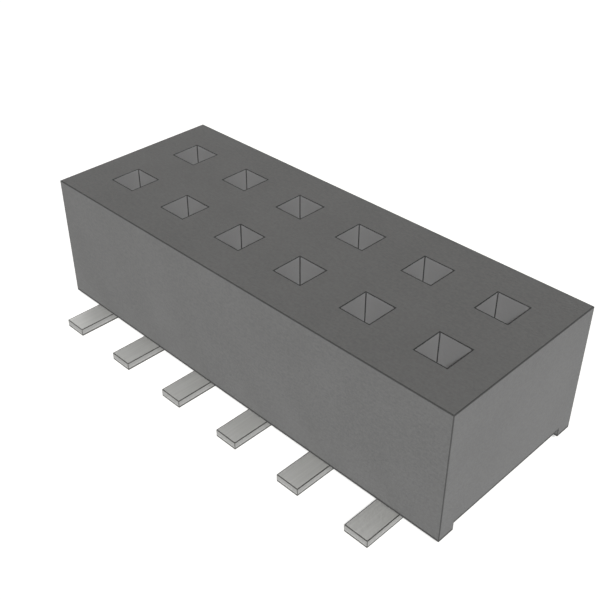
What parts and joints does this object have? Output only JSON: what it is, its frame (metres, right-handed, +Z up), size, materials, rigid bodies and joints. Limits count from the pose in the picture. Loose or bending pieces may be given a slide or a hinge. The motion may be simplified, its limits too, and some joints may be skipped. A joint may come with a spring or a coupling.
{
  "type": "socket strip",
  "caption": "Low surface-mount socket strip: a plain rectangular housing with rows of square pin entries in its top and flat solder tails along both long sides.",
  "frame": {"origin": "centre of the footprint, on the board's surface, which is the underside of the solder tails", "axes": "+X along the rows of sockets, +Y across the rows from the front row to the rear row, +Z up from the board"},
  "size_m": [0.008, 0.0044, 0.0023],
  "materials": {
    "housing": "matte",
    "contact": "satin"
  },
  "bodies": {
    "root": {"housing": "housing", "front_contact_1": "contact", "front_contact_2": "contact", "front_contact_3": "contact", "front_contact_4": "contact", "front_contact_5": "contact", "front_contact_6": "contact", "rear_contact_1": "contact", "rear_contact_2": "contact", "rear_contact_3": "contact", "rear_contact_4": "contact", "rear_contact_5": "contact", "rear_contact_6": "contact"}
  },
  "joints": []
}
